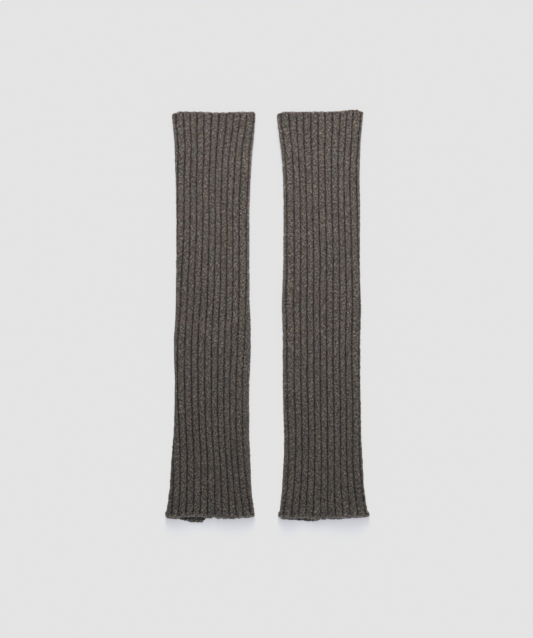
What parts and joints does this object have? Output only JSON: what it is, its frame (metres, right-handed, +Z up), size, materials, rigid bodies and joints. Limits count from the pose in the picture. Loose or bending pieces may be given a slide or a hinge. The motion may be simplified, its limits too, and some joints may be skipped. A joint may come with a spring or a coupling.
{
  "type": "pair of leg warmers",
  "caption": "Pair of long rib-knit leg warmers lying flat side by side, each a flattened knitted tube open at its ends, with raised lengthwise ribs.",
  "frame": {"origin": "on the surface the pair lies on, below the middle of its bounding box", "axes": "+X across the pair toward the right leg warmer, +Y along the tubes toward their top hems, +Z up off the surface"},
  "size_m": [0.2792, 0.5672, 0.009],
  "materials": {
    "heathered_wool": "matte, heathered grey-brown wool rib knit"
  },
  "bodies": {
    "root": {"left_leg_warmer": "heathered_wool", "right_leg_warmer": "heathered_wool"}
  },
  "joints": []
}
